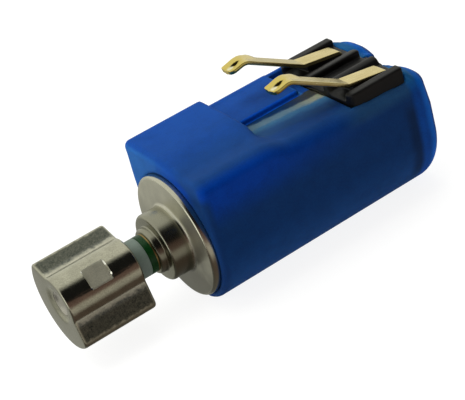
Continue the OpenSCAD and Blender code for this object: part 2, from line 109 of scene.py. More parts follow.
class Wire:
    def __init__(self, tree, socket=None):
        self.tree, self.socket = tree, socket

    def node(self, kind, settings=None, inputs=None, output=0):  # any node, its settings first
        made = self.tree.nodes.new(kind)
        for name, value in (settings or {}).items():
            if name == "stops":
                while len(made.color_ramp.elements) < len(value):
                    made.color_ramp.elements.new(1)
                for element, (place, colour) in zip(made.color_ramp.elements, value):
                    element.position, element.color = place, (*colour, 1)
            else:
                setattr(made, name, value)
        for name, value in (inputs or {}).items():
            if isinstance(value, Wire):
                self.tree.links.new(value.socket, made.inputs[name])
            else:
                made.inputs[name].default_value = value
        return Wire(self.tree, made.outputs[output])

    def math(self, operation, *values):
        return self.node("ShaderNodeMath", {"operation": operation}, dict(enumerate(values)))

    def __add__(self, other):
        return self.math("ADD", self, other)

    def __sub__(self, other):
        return self.math("SUBTRACT", self, other)

    def __rsub__(self, other):
        return self.math("SUBTRACT", other, self)

    def __mul__(self, other):
        return self.math("MULTIPLY", self, other)

    __radd__, __rmul__ = __add__, __mul__

    def ramp(self, low, high):  # eased from 0 at low to 1 at high
        smooth = {"interpolation_type": "SMOOTHSTEP"}
        return self.node("ShaderNodeMapRange", smooth, {0: self, 1: low, 2: high})

    def mix(self, a, b):  # colours, by this factor
        return self.node("ShaderNodeMix", {"data_type": "RGBA"}, {0: self, 6: a, 7: b}, 2)

    def blotch(self, colour, dark, low=0.3, high=0.7):  # a colour and its darker form, by this noise
        base = linear(*colour)
        return self.ramp(low, high).mix((*np.multiply(base, dark), 1), (*base, 1))

    def noise(self, place, scale, detail=3.0, stretch=None):
        if stretch:
            place = self.node("ShaderNodeVectorMath", {"operation": "MULTIPLY"}, {0: place, 1: stretch})
        return self.node("ShaderNodeTexNoise", {}, {"Vector": place, "Scale": scale, "Detail": detail})

    def spread(self, amount):  # a noise as a value of that width around nothing
        return (self - 0.5) * amount

    def split(self, vector):
        first = self.node("ShaderNodeSeparateXYZ", {}, {0: vector})
        return [Wire(self.tree, s) for s in first.socket.node.outputs]

    def bump(self, height, strength, distance):  # distance in millimetres
        return self.node("ShaderNodeBump", {}, {"Height": height, "Strength": strength,
                                                "Distance": distance * mm})


def linear(red, green, blue):  # a colour in 0 to 255 as seen on a screen
    values = [c / 255 for c in (red, green, blue)]
    return tuple(c / 12.92 if c < 0.04045 else ((c + 0.055) / 1.055) ** 2.4 for c in values)


def rgba(*colour):
    return (*linear(*colour), 1)


def startMaterial(name, fixed):  # a material, its shader, a wire to draw from and places in millimetres
    material = bpy.data.materials.new(name)
    material.use_nodes = True
    tree = material.node_tree
    tree.nodes.clear()
    shader = tree.nodes.new("ShaderNodeBsdfPrincipled")
    ending = tree.nodes.new("ShaderNodeOutputMaterial")
    tree.links.new(shader.outputs[0], ending.inputs[0])
    for socket, value in fixed.items():
        shader.inputs[socket].default_value = value
    wire = Wire(tree)
    point = wire.node("ShaderNodeTexCoord", {}, {}, "Object")
    point = wire.node("ShaderNodeVectorMath", {"operation": "SUBTRACT"}, {0: point, 1: tuple(axisPoint)})
    point = wire.node("ShaderNodeVectorMath", {"operation": "SCALE"}, {0: point, "Scale": 1 / mm})
    return material, shader, wire, point


def feed(shader, **links):
    for name, wire in links.items():
        wire.tree.links.new(wire.socket, shader.inputs[name.replace("_", " ")])


def fromAxis(y, z):
    return y.math("SQRT", y * y + z * z)


def zone(axes, ranges):  # where a finish lies, from ramps of (axis, low, high) that hold together
    masks = [axes[name].ramp(low, high) for name, low, high in ranges]
    return math.prod(masks[1:], start=masks[0])


# mesh tools, all in millimetres from the axis point

shading = dict(sharpFrom=19, faceWeight=100)  # degrees, and how much large faces count


def addMesh(name, points, faces, material, flatten=True):
    mesh = bpy.data.meshes.new(name)
    places = (np.asarray(points) * mm + axisPoint).tolist()
    mesh.from_pydata(places, [], [tuple(map(int, face)) for face in faces])
    mesh.polygons.foreach_set("use_smooth", np.ones(len(mesh.polygons), bool))
    if flatten:
        mesh.set_sharp_from_angle(angle=math.radians(shading["sharpFrom"]))
    mesh.materials.append(material)
    piece = bpy.data.objects.new(name, mesh)
    scene.collection.objects.link(piece)
    if flatten:  # large faces keep their own shading beside rounded edges
        weighted = piece.modifiers.new("flatFaces", "WEIGHTED_NORMAL")
        weighted.weight, weighted.keep_sharp = shading["faceWeight"], True
    return piece


def settle(piece, body, slot, *nodes):
    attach(piece, body)
    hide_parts(*nodes)
    print("made", piece.name)


def polar(r, degrees):
    return r * np.array((math.cos(math.radians(degrees)), math.sin(math.radians(degrees))))


def heading(vector):  # in degrees
    return math.degrees(math.atan2(vector[1], vector[0]))


def arc(centre, r, start, end, count=6):
    return np.array(centre) + [polar(r, angle) for angle in np.linspace(start, end, count + 1)]


def eased(path, closed=True, count=6):  # corners of (u, v, radius) turned into arcs
    at = np.array([corner[:2] for corner in path], float)
    made = []
    for i, corner in enumerate(path):
        r = corner[2]
        if r == 0 or (not closed and i in (0, len(path) - 1)):
            made.append(at[i])
            continue
        before, after = at[i] - at[i - 1], at[(i + 1) % len(at)] - at[i]
        before, after = before / np.linalg.norm(before), after / np.linalg.norm(after)
        turn = math.atan2(before[0] * after[1] - before[1] * after[0], before @ after)
        side = math.copysign(1, turn) * np.array((-before[1], before[0]))
        centre = at[i] - r * math.tan(abs(turn) / 2) * before + r * side
        start = heading(-side)
        made.extend(arc(centre, r, start, start + math.degrees(turn), count))
    return np.array(made)


def loft(rings, closed=False):  # quads over rings with equal numbers of points
    count, size = len(rings), len(rings[0])
    around = np.arange(size)
    following = (around + 1) % size
    faces = []
    for j in range(count if closed else count - 1):
        a, b = j * size, (j + 1) % count * size
        faces.append(np.column_stack((a + around, a + following, b + following, b + around)))
    return np.concatenate(rings), np.concatenate(faces)


def lathe(profile, steps=96):  # a closed profile of (x, radius) turned about the axis
    angles = np.arange(steps) * 2 * np.pi / steps
    circle = np.column_stack((np.zeros(steps), np.cos(angles), np.sin(angles)))
    return loft([circle * r + (x, 0, 0) for x, r in profile], closed=True)


def both(a, b, r=0.0):  # inside both fields, their edge rounded to r
    return np.minimum(np.maximum(a, b), -r) + np.hypot(np.maximum(a + r, 0), np.maximum(b + r, 0))


def either(a, b, r=0.0):  # inside one of two fields, their corner filled to r
    return -both(-a, -b, r)


def share(value, start, over=1.0):  # 0 up to start, then evenly to 1
    return np.clip((value - start) / over, 0, 1)


polish = dict(passes=4, nudge=0.001, leastSlope=0.2)  # how a skin's points settle on their level


def skin(field, low, high, step):  # quads on the zero level of a distance field
    axes = [np.arange(a - 2 * step, b + 2.5 * step, step) for a, b in zip(low, high)]
    values = field(*np.meshgrid(*axes, indexing="ij"))
    size = np.array(values.shape)
    inside = values < 0
    shape = tuple(size - 1)
    total, hits = np.zeros(shape + (3,)), np.zeros(shape)
    corners = [(i, j, k) for i in (0, 1) for j in (0, 1) for k in (0, 1)]

    def corner(c):  # the field at one corner of every cell
        return values[tuple(slice(o, o + n) for o, n in zip(c, shape))]

    for axis in range(3):
        for c in (c for c in corners if c[axis] == 0):
            first, second = corner(c), corner([1 if i == axis else v for i, v in enumerate(c)])
            crossed = (first < 0) != (second < 0)
            part = np.where(crossed, first / np.where(crossed, first - second, 1), 0)
            for i in range(3):
                total[..., i] += np.where(crossed, part if i == axis else c[i], 0)
            hits += crossed
    used = hits > 0
    number = np.full(shape, -1)
    number[used] = np.arange(used.sum())
    start = np.stack(np.meshgrid(*[a[:-1] for a in axes], indexing="ij"), -1)
    points = start[used] + total[used] / hits[used][:, None] * step
    faces = []
    for axis in range(3):
        u, v = [i for i in range(3) if i != axis]
        here = [slice(1, n - 1) for n in size]
        here[axis] = slice(0, size[axis] - 1)
        there = list(here)
        there[axis] = slice(1, size[axis])
        a, b = inside[tuple(here)], inside[tuple(there)]
        cells = np.argwhere(a != b) + [0 if i == axis else 1 for i in range(3)]
        leaving = a[a != b]
        quad = []
        for du, dv in ((-1, -1), (0, -1), (0, 0), (-1, 0)):
            moved = cells.copy()
            moved[:, u] += du
            moved[:, v] += dv
            quad.append(number[tuple(moved.T)])
        quad = np.column_stack(quad)
        flip = leaving if axis == 1 else ~leaving
        quad[flip] = quad[flip][:, ::-1]
        faces.append(quad)
    nudges = np.eye(3) * polish["nudge"]
    for _ in range(polish["passes"]):
        rise = [field(*(points + nudge).T) - field(*(points - nudge).T) for nudge in nudges]
        slope = np.stack(rise, -1) / (2 * polish["nudge"])
        away = field(*points.T) / np.maximum((slope ** 2).sum(-1), polish["leastSlope"])
        points = points - np.clip(away, -step, step)[:, None] * slope
    return points, np.concatenate(faces)


# rubber boot

boot = dict(
    step=0.06, inner=0.05, crisp=0.02,  # grid of the skin, its small fillets and its sharp edges
    pad=dict(rear=3.06, slope=0.118, soften=0.3, edge=0.08, fade=0.5, fadeFrom=0.5, fadeOver=1.2),
    shelf=dict(top=2.17, wall=0.27, end=5.45, edge=0.06),
    crown=dict(top=2.0, start=-0.03, rise=0.06, reach=0.7, film=0.012),  # a thin film over the case's top
    rail=dict(path=((3.06, 0.13), (7.85, -0.14)), start=0.25, over=1.6),  # near rim over the crown, along x
    notch=dict(middle=-0.1, half=0.45, low=1.5, lobe=0.8),
    edges=dict(far=0.22, near=0.45, nearRear=0.3, rearOver=0.3, start=-0.5, base=0.03),
    front=dict(edge=0.14, padExtra=0.08, padFrom=1.2, padOver=0.8, mouth=0.055),
    rear=dict(edge=0.62, topExtra=0.3, topFrom=0.8),
    cavity=dict(rear=8.29, bridge=0.18, half=1.2, over=0.4, ahead=0.6),
    sink=0.03,  # the block presses this far into the rubber
)


def bootTop(x, y, z):  # pad, shelf, crown, far wall and the two rear lobes
    pad, shelf, crown, rail, notch = (boot[k] for k in ("pad", "shelf", "crown", "rail", "notch"))
    lean = pad["slope"] * (y - np.sqrt(y * y + pad["soften"] ** 2)) / 2
    fade = share(-y, pad["fadeFrom"], pad["fadeOver"]) * pad["fade"]  # the edge runs out on the near side
    raised = both(z - bootHigh[2] - lean, x - pad["rear"], pad["edge"] + fade)
    ledge = both(both(z - shelf["top"], shelf["wall"] - y, shelf["edge"]), x - shelf["end"], shelf["edge"])
    farWall = both(z - shelf["top"], blockHigh[1] - y, shelf["edge"])
    aside, behind = notch["half"] - np.abs(y - notch["middle"]), blockHigh[0] - x
    lobes = both(both(z - shelf["top"], aside, notch["lobe"]), behind, shelf["edge"])
    gap = both(both(-aside, behind), notch["low"] - z)
    overCase = np.sqrt(np.maximum(caseR ** 2 - y * y, 0)) + crown["film"]
    saddle = crown["top"] + crown["rise"] * np.clip(crown["start"] - y, 0, crown["reach"])
    nearRim = np.interp(x, *zip(*rail["path"])) * share(-y, rail["start"], rail["over"])
    top = either(z - np.maximum(saddle, overCase) - nearRim, raised, boot["inner"] + fade)
    top = either(either(top, ledge, boot["inner"]), farWall, boot["inner"])
    return either(both(top, -gap, boot["inner"]), lobes, boot["inner"])


def bootBody(x, y, z):  # the outside, closed all round
    edges, front, rear = boot["edges"], boot["front"], boot["rear"]
    rearward = share(x, blockHigh[0], edges["rearOver"])
    nearEdge = edges["near"] + edges["nearRear"] * rearward
    farEdge = edges["far"] + (boot["notch"]["lobe"] - edges["far"]) * rearward
    topEdge = farEdge + (nearEdge - farEdge) * share(-y, edges["start"])
    side = np.hypot(y, np.minimum(z, 0)) - bootHalf
    solid = both(both(bootTop(x, y, z), side, topEdge), bootLow[2] - z, edges["base"])
    frontEdge = front["edge"] + front["padExtra"] * share(z, front["padFrom"], front["padOver"])
    rearEdge = rear["edge"] + rear["topExtra"] * share(z, rear["topFrom"]) * share(-y, 0)
    return both(both(solid, bootLow[0] - x, frontEdge), x - bootHigh[0], rearEdge)


def bootField(x, y, z):
    hollow, crisp, sink = boot["cavity"], boot["crisp"], boot["sink"]
    middle, half = (blockLow[0] + blockHigh[0]) / 2, (blockHigh[0] - blockLow[0]) / 2
    seat = both(np.abs(y) - blockHigh[1], np.abs(x - middle) - half) + sink
    seat = both(seat, blockLow[2] + sink - z)
    overTop = share(-np.abs(y), -hollow["half"], hollow["over"]) * share(z, 0)
    overTop = overTop * share(x, boot["pad"]["rear"] - hollow["ahead"], hollow["over"])
    cavity = np.hypot(y, z) - caseR + hollow["bridge"] * overTop  # thicker rubber over the case's top
    cavity = both(cavity, x - hollow["rear"], boot["front"]["edge"])
    mouth = crisp + (boot["front"]["mouth"] - crisp) * share(-x, -1)
    return both(both(bootBody(x, y, z), -seat, crisp), -cavity, mouth)


rubber = dict(
    colours=dict(
        far=(21, 67, 142), near=(20, 58, 114), side=(12, 47, 95), low=(15, 54, 105), glow=(2, 53, 142),
        ledge=(30, 64, 102), lip=(13, 45, 92), shade=(13, 35, 69), wall=(8, 72, 178), lit=(33, 88, 156),
        rim=(9, 60, 132), lobe=(25, 80, 128), rear=(7, 84, 172), back=(15, 64, 132)),
    zones=dict(
        far=(("y", -1.8, 1.4),),
        shelf=(("y", 0.2, 0.3), ("z", 1.8, 2.0)),
        inside=(("y", -2.17, -1.85),),  # all but the near side
        low=(("z", 0.4, -1.2),),
        glow=(("z", 0.7, 2.0), ("x", 7.5, 1.0)),  # light that comes through the near edge
        ledge=(("x", 5.0, 6.2), ("y", -1.5, -1.8), ("z", 1.4, 1.75)),  # near rim beside the block
        # painted shade: the boot's front face darker beside the case, where the case shades it
        lip=(("x", 0.55, 0.3), ("y", -0.9, -1.7), ("z", 2.1, 1.7)),
        slot=(("x", 2.9, 3.2), ("y", -2.1, -1.8), ("y", 0.27, 0.24), ("z", 1.5, 1.8)),
        shade=(("x", 7.25, 7.6), ("z", 1.6, 0.9), ("z", -1.9, -0.9)),  # the case's end shows through
        lobe=(("z", 1.5, 2.0),),
        rim=(("x", 7.68, 7.92),),
        rear=(("x", 8.05, 8.3),),
        back=(("x", 8.37, 8.44),),
        # painted light: the shelf's inner wall painted brighter than its own shade, for light through the
        # thin shelf
        wall=(("x", 3.0, 3.1), ("x", 5.42, 5.36), ("y", 0.2, 0.24), ("y", 0.36, 0.3), ("z", 1.7, 1.8)),
        shelfEnd=(("x", 5.34, 5.43), ("x", 5.6, 5.5), ("y", 0.15, 0.3), ("y", 1.75, 1.6), ("z", 1.7, 1.9)),
        padFront=(("x", 0.3, 0.225), ("z", 0.4, 1.4), ("y", -1.4, 1.6))),
    film=dict(  # the case's steel seen through in the slot, greyer at the block, with painted shade beside the shelf wall and under the block
        shade=(12, 42, 80), blockShade=(48, 51, 50), sheen=(78, 102, 118), blockSheen=(120, 124, 106),
        edge=(46, 86, 118), rim=(27, 60, 102)),
    filmPlace=dict(lean=0.13, middle=4.0, block=(4.5, 5.8), sheen=(0.06, -0.09), edge=(-0.24, -0.44),
                   rim=(-0.4, -0.85), grain=0.16, flecks=0.2),
    thick=(0.2, 0.55), thin=(0.55, 0.3), shadeShare=0.8,  # rubber over the case
    grain=22.0, mottleScale=2.2, fleckScale=5.0, fleckStretch=(0.5, 1, 1),
    mottle=0.4, speckle=0.5, roughness=0.55, roughSpread=0.2, bump=0.12, bumpDepth=0.02,
    fixed={"Subsurface Weight": 0.2, "Subsurface Radius": (0.15, 0.4, 1), "Subsurface Scale": 0.25 * mm,
           "IOR": 1.41, "Specular IOR Level": 0.05},
)


def steelThroughRubber(x, y, wander):
    place, tone = rubber["filmPlace"], {name: rgba(*colour) for name, colour in rubber["film"].items()}
    slant = y + (x - place["middle"]) * place["lean"] + wander  # it runs nearer towards the block
    atBlock = x.ramp(*place["block"])
    # painted shade beside the shelf wall, and greyer painted shade under the block
    shade = atBlock.mix(tone["shade"], tone["blockShade"])
    film = slant.ramp(*place["sheen"]).mix(shade, atBlock.mix(tone["sheen"], tone["blockSheen"]))
    film = slant.ramp(*place["edge"]).mix(film, tone["edge"])
    return slant.ramp(*place["rim"]).mix(film, tone["rim"])


def blueRubber():
    material, shader, wire, point = startMaterial("blueRubber", rubber["fixed"])
    axes = dict(zip("xyz", wire.split(point)))
    x, y, z = axes.values()
    tone = {name: rgba(*colour) for name, colour in rubber["colours"].items()}
    place = {name: zone(axes, ranges) for name, ranges in rubber["zones"].items()}
    grain, cloud = wire.noise(point, rubber["grain"], 4), wire.noise(point, rubber["mottleScale"])
    flecks = wire.noise(point, rubber["fleckScale"], 3, rubber["fleckStretch"])
    depth = fromAxis(y, z) - float(caseR)
    thick = wire.math("MAXIMUM", place["shelf"], depth.ramp(*rubber["thick"])) * place["inside"]
    side = place["glow"].mix(place["low"].mix(tone["side"], tone["low"]), tone["glow"])
    colour = thick.mix(side, place["far"].mix(tone["near"], tone["far"]))
    for name in ("ledge", "lip"):
        colour = place[name].mix(colour, tone[name])
    wander = grain.spread(rubber["filmPlace"]["grain"]) + flecks.spread(rubber["filmPlace"]["flecks"])
    film = steelThroughRubber(x, y, wander)
    colour = (depth.ramp(*rubber["thin"]) * place["slot"]).mix(colour, film)
    colour = (place["shade"] * rubber["shadeShare"]).mix(colour, tone["shade"])
    rim = place["rear"].mix(place["lobe"].mix(tone["rim"], tone["lobe"]), tone["rear"])
    colour = place["rim"].mix(colour, rim)
    for name in ("back", "wall"):
        colour = place[name].mix(colour, tone[name])
    for name in ("shelfEnd", "padFront"):  # thin edges with light behind them
        colour = place[name].mix(colour, tone["lit"])
    value = cloud.spread(rubber["mottle"]) + grain.spread(rubber["speckle"]) + 1
    colour = wire.node("ShaderNodeHueSaturation", {}, {"Value": value, "Color": colour})
    feed(shader, Base_Color=colour, Roughness=rubber["roughness"] + grain.spread(rubber["roughSpread"]),
         Normal=wire.bump(grain, rubber["bump"], rubber["bumpDepth"]))
    return material


bootSkin = skin(bootField, bootLow, bootHigh, boot["step"])
bootPiece = addMesh("rubberBoot", *bootSkin, blueRubber(), False)
settle(bootPiece, "stator", "boot_rubber", "rubber_boot")


# steel case, bearing and shaft

case = dict(wall=0.2, rim=0.11, boss=1.08, bossX=-0.71, nose=0.735, fillet=0.1, noseFillet=0.05, bore=0.62,
            lip=0.55, lipThick=0.03, lipEdge=0.012, rearEdge=0.03, turns=128)
bearing = dict(bore=0.42, gap=0.005, edge=0.02)
shaft = dict(dish=0.12, bowl=(0.2, 0.4, 0.6, 0.8), rim=0.01, rear=0.06, core=0.002)
metal = dict(lines=30, stain=1.6, fine=30, dark=0.82, broadShare=0.6, fineShare=0.4, stainRoughness=0.12,
             bumpDepth=0.004, fixed={"Metallic": 1.0, "IOR": 2.5})
caseShadeAndTone = dict(  # painted shade low on the front face, darker still towards the bottom of the face, and a darker tone on the boss
    front=(("x", 0.1, 0.0),), face=(("x", 0.02, -0.01), ("x", -0.06, -0.03)), boss=(("x", -0.05, -0.2),),
    dull=(1.6, -0.2), foot=(0.0, -1.1), wander=1.5, bossShare=0.8, faceRoughness=0.14, faceFilm=0.18,
    lowShadeColour=(176, 174, 157), footShadeColour=(86, 85, 76), bossColour=(144, 143, 127),
)


def satinSteel(name, colour, roughness, brush, marks, shadeAndTone=None):
    material, shader, wire, point = startMaterial(name, metal["fixed"])
    axes = dict(zip("xyz", wire.split(point)))
    x, y, z = axes.values()
    across = {0: x * metal["lines"], 1: fromAxis(y, z) * metal["lines"], 2: 0.0}
    lines = wire.noise(wire.node("ShaderNodeCombineXYZ", {}, across), 1.0)  # turned marks
    stain, fine = wire.noise(point, metal["stain"]), wire.noise(point, metal["fine"])
    tone = (stain * metal["broadShare"] + fine * metal["fineShare"]).blotch(colour, metal["dark"])
    rough = roughness + lines.spread(brush) + stain.spread(metal["stainRoughness"])
    if shadeAndTone:
        level = z + stain.spread(shadeAndTone["wander"])
        front, face, boss = (zone(axes, shadeAndTone[k]) for k in ("front", "face", "boss"))
        # painted shade: darker low on the front, darker still low on the face, then a darker tone on the
        # boss
        tone = (front * level.ramp(*shadeAndTone["dull"])).mix(tone, rgba(*shadeAndTone["lowShadeColour"]))
        tone = (face * level.ramp(*shadeAndTone["foot"])).mix(tone, rgba(*shadeAndTone["footShadeColour"]))
        tone = (boss * shadeAndTone["bossShare"]).mix(tone, rgba(*shadeAndTone["bossColour"]))
        rough = rough + face * shadeAndTone["faceRoughness"]
        feed(shader, Metallic=1 - face * shadeAndTone["faceFilm"])
    height = lines * metal["broadShare"] + fine * metal["fineShare"]
    feed(shader, Base_Color=tone, Roughness=rough, Normal=wire.bump(height, marks, metal["bumpDepth"]))
    return material


caseSteel = satinSteel("caseSteel", (212, 210, 191), roughness=0.22, brush=0.1, marks=0.15,
                       shadeAndTone=caseShadeAndTone)
shaftSteel = satinSteel("shaftSteel", (212, 208, 198), roughness=0.16, brush=0.12, marks=0.3)
bronze = satinSteel("sinteredBronze", (190, 164, 112), roughness=0.4, brush=0.05, marks=0.2)
bossFloor = case["bossX"] + case["wall"]  # inside of the boss's front


def caseProfile():  # outside from the rear to the nose, then back inside
    bossX, boss, nose, bore, wall = (case[k] for k in ("bossX", "boss", "nose", "bore", "wall"))
    front, lipEnd = caseLow[0], caseLow[0] + case["lipThick"]
    outside = [
        (caseHigh[0], caseR - wall, 0), (caseHigh[0], caseR, case["rearEdge"]), (0, caseR, case["rim"]),
        (0, boss, case["fillet"]), (bossX, boss, case["rim"]), (bossX, nose, case["noseFillet"]),
        (front, nose, case["fillet"]), (front, case["lip"], case["lipEdge"])]
    inside = [
        (lipEnd, case["lip"], 0), (lipEnd, bore, 0), (bossFloor, bore, 0), (bossFloor, boss - wall, 0),
        (wall, boss - wall, 0), (wall, caseR - wall, 0)]
    return eased((outside + inside)[::-1])


def bearingProfile():
    low, high = span("front_bearing")
    bore, wide, wall = bearing["bore"], case["bore"], case["wall"]
    start = low[0] + case["lipThick"] + bearing["gap"]
    return eased([
        (start, bore, bearing["edge"]), (start, wide, 0), (bossFloor, wide, 0), (bossFloor, high[1], 0),
        (wall, high[1], 0), (wall, wide, 0), (high[0], wide, 0), (high[0], bore, 0)])


def shaftProfile():  # with a dished end
    dish, core = shaft["dish"], shaft["core"]
    bowl = [(shaftLow[0] + dish * (1 - part ** 2), shaftR * part, 0) for part in shaft["bowl"]]
    return eased([
        (shaftLow[0] + dish, core, 0), *bowl, (shaftLow[0], shaftR, shaft["rim"]),
        (shaftHigh[0], shaftR, shaft["rear"]), (shaftHigh[0], core, 0)])


casePiece = addMesh("motorCase", *lathe(caseProfile(), case["turns"]), caseSteel)
settle(casePiece, "stator", "case_steel", "motor_can")
bearingPiece = addMesh("frontBearing", *lathe(bearingProfile()), bronze)
settle(bearingPiece, "stator", "bearing_bronze", "front_bearing")
shaftPiece = addMesh("motorShaft", *lathe(shaftProfile()), shaftSteel)
settle(shaftPiece, "rotor", "shaft_steel", "shaft")


# washers on the shaft

plastic = dict(cloud=3, fine=26, dark=0.8, roughSpread=0.25, bump=0.2, bumpDepth=0.006)


def plainPlastic(name, colour, roughness, gloss=0.5):
    material, shader, wire, point = startMaterial(name, {"Specular IOR Level": gloss})
    cloud, fine = wire.noise(point, plastic["cloud"]), wire.noise(point, plastic["fine"])
    tone = (cloud * 0.5 + fine * 0.5).blotch(colour, plastic["dark"])
    feed(shader, Base_Color=tone, Roughness=roughness + fine.spread(plastic["roughSpread"]),
         Normal=wire.bump(fine, plastic["bump"], plastic["bumpDepth"]))
    return material


greyPlastic = plainPlastic("greyPlastic", (104, 118, 108), 0.5)
greenPlastic = plainPlastic("greenPlastic", (9, 50, 16), 0.3, 0.25)
washers = {
    "grey_washer": dict(name="greyWasher", finish=greyPlastic, edge=0.03),
    "green_washer": dict(name="greenWasher", finish=greenPlastic, edge=0.02, gap=0.02),  # up to the nose
}


def washerProfile(node, edge, gap=None):
    low, high = span(node)
    end = high[0] if gap is None else caseLow[0] - gap
    return eased([(low[0], shaftR, 0), (low[0], high[1], edge), (end, high[1], edge), (end, shaftR, 0)])


for node, washer in washers.items():
    profile = washerProfile(node, washer["edge"], washer.get("gap"))
    settle(addMesh(washer["name"], *lathe(profile), washer["finish"]), "rotor", node + "_plastic", node)


# eccentric weight

weight = dict(
    r=1.47, hub=0.87, sector=89, crease=116, heavy=-47.5,  # degrees from +Y towards +Z for the heavy side
    creaseR=0.22, cornerR=0.2, edge=0.08, bore=0.4, dimple=0.68, dimpleRings=12, boreGap=0.004,
    stake=dict(length=0.68, width=0.66, bevel=0.04),
    counts=dict(rim=40, corner=7, hub=30), edgeAngles=(90, 75, 60, 45, 30, 15, 0),
)
weightMiddle = float(weightLow[0] + weightHigh[0]) / 2
stakeLevel = math.sqrt(weight["hub"] ** 2 - weight["stake"]["width"] ** 2 / 4)  # from the axis to the flat


def weightOutline():  # heavy side along +u, as points and outward normals
    r, hub, creaseR, cornerR, counts = (weight[k] for k in ("r", "hub", "creaseR", "cornerR", "counts"))
    crease, corner = polar(hub, weight["crease"]), polar(r, weight["sector"])
    wing = (corner - crease) / np.linalg.norm(corner - crease)
    side = np.array((-wing[1], wing[0]))

    def beside(radius, distance):  # centre of a circle that touches the wing's face
        base = crease + radius * side
        along = base @ wing
        return base + (math.sqrt(along * along - base @ base + distance * distance) - along) * wing

    fillet, rounding = beside(creaseR, hub + creaseR), beside(-cornerR, r - cornerR)
    toFace, toAxis, outward = heading(-side), heading(-fillet), heading(rounding)
    upper = np.concatenate((
        arc((0, 0), r, 0, outward, counts["rim"])[:-1],
        arc(rounding, cornerR, outward, toFace + 180, counts["corner"]),
        arc(fillet, creaseR, toFace, toAxis, counts["corner"]),
        arc((0, 0), hub, toAxis + 180, 180, counts["hub"])[1:]))
    points = np.concatenate((upper, upper[-2:0:-1] * (1, -1)))
    tangent = np.roll(points, -1, 0) - np.roll(points, 1, 0)
    tangent /= np.linalg.norm(tangent, axis=1)[:, None]
    return points, np.column_stack((tangent[:, 1], -tangent[:, 0]))


def weightMesh():
    outline, outward = weightOutline()
    around = outline / np.linalg.norm(outline, axis=1)[:, None]
    front, rear, edge, bore = weightLow[0], weightHigh[0], weight["edge"], weight["bore"]
    half, bevel = weight["stake"]["length"] / 2, weight["stake"]["bevel"]

    def ring(x, inset=0.0, lowest=None):
        at = outline - inset * outward
        if lowest is not None:
            at = np.column_stack((np.maximum(at[:, 0], lowest), at[:, 1]))
        return x, at

    ends = [edge * (1 - polar(1, angle)[::-1]) for angle in weight["edgeAngles"]]
    depth = shaftLow[0] - front
    stations = [(front + 2 * depth, around * bore)]
    for r in np.linspace(bore + weight["boreGap"], weight["dimple"], weight["dimpleRings"]):
        sunk = depth * (1 + math.cos(math.pi * (r - bore) / (weight["dimple"] - bore))) / 2
        stations.append((front + sunk, around * r))  # a soft hollow down to the shaft's end
    stations += [ring(front + x, inset) for x, inset in ends]
    stations += [ring(weightMiddle - half - bevel), ring(weightMiddle - half, 0, -stakeLevel),
                 ring(weightMiddle + half, 0, -stakeLevel), ring(weightMiddle + half + bevel)]
    stations += [ring(rear - x, inset) for x, inset in ends[::-1]]
    stations += [(rear, around * bore)]
    across = np.array((polar(1, weight["heavy"]), polar(1, weight["heavy"] + 90)))
    return loft([np.column_stack((np.full(len(at), x), at @ across)) for x, at in stations], closed=True)


alloy = dict(
    colour=(200, 198, 178), front=(152, 150, 135), wing=(68, 74, 68), cut=(255, 255, 244), dark=0.72,
    roughness=0.15, wingRoughness=0.45, stakeRoughness=0.6, roughSpread=0.1,
    stakeFilm=0.18, creaseFilm=0.25,  # taken from the metallic share
    stain=2.4, fine=24, pits=9, ragged=0.16, seam=0.01,
    ends=(0.02, 0.1), frontFace=(0.04, 0.01),  # in from the front and the rear
    wingIn=(0.02, 0.12), wingOut=(-0.05, -0.13),  # out from the hub and in from the rim
    crease=(0.002, 0.02), filmFrom=(0.0, 0.005), filmTo=(0.18, 0.08),  # out from the hub
    stakeIn=(-0.01, -0.004), stakeOut=(0.008, 0.003), cutIn=(-0.01, 0.004), cutOut=(-0.002, -0.006),
    wingFine=0.7, wingPits=0.35, wingShare=0.3, frontStain=0.6, frontShare=0.2,
    fineHeight=0.25, pitHeight=0.3, stainHeight=0.6, bump=0.4, bumpDepth=0.012,
)


